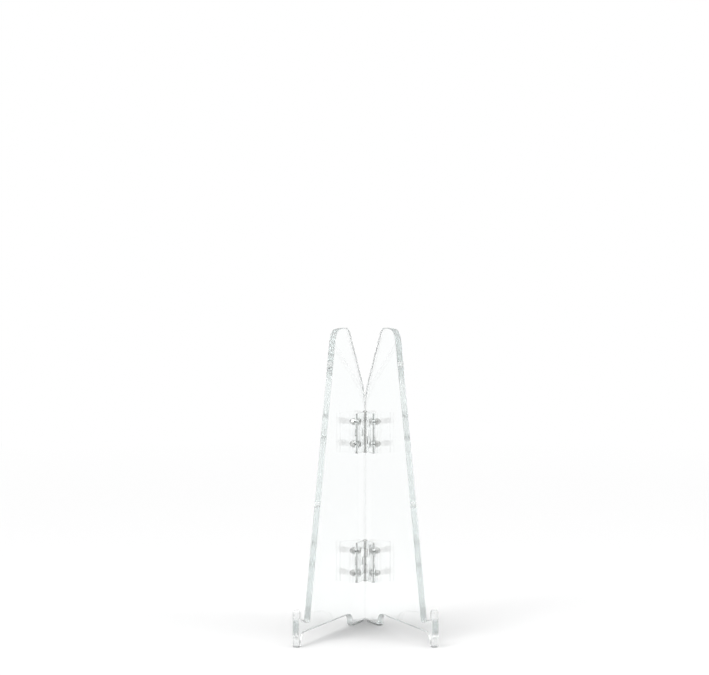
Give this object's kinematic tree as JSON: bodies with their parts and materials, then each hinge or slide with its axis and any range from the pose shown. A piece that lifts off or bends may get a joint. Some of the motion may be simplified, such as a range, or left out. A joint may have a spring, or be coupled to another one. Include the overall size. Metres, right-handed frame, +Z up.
{
  "type": "plate display stand",
  "caption": "Folding plate stand of clear acrylic: hinged leaves with upturned front prongs hold the rim in notches while leaning uprights carry the plate's back.",
  "frame": {"origin": "on the table under the middle of the stand's footprint", "axes": "+X to the viewer's right, -Y towards the viewer and the front prongs, +Z up"},
  "size_m": [0.1126, 0.1466, 0.24],
  "materials": {
    "clear_acrylic": "polished",
    "clear_silicone": "satin",
    "stainless_steel": "gloss"
  },
  "bodies": {
    "left_side": {"left_leaf": "clear_acrylic", "left_front_foot": "clear_silicone", "left_rear_foot": "clear_silicone", "left_rim_pad": "clear_silicone", "left_rest_pads": "clear_silicone", "left_hinge_screws": "stainless_steel", "left_hinge_washers": "stainless_steel", "left_hinge_nuts": "stainless_steel", "lower_hinge_left_half": "clear_acrylic", "upper_hinge_left_half": "clear_acrylic", "lower_hinge_pin": "stainless_steel", "upper_hinge_pin": "stainless_steel"},
    "right_side": {"right_leaf": "clear_acrylic", "right_front_foot": "clear_silicone", "right_rear_foot": "clear_silicone", "right_rim_pad": "clear_silicone", "right_rest_pads": "clear_silicone", "right_hinge_screws": "stainless_steel", "right_hinge_washers": "stainless_steel", "right_hinge_nuts": "stainless_steel", "lower_hinge_right_half": "clear_acrylic", "upper_hinge_right_half": "clear_acrylic"}
  },
  "joints": [
    {"name": "fold", "type": "hinge", "parent": "left_side", "child": "right_side", "pos_m": [0, 0.06132, 0.05], "axis": [0, 0, -1], "range_deg": [0, 40]}
  ]
}
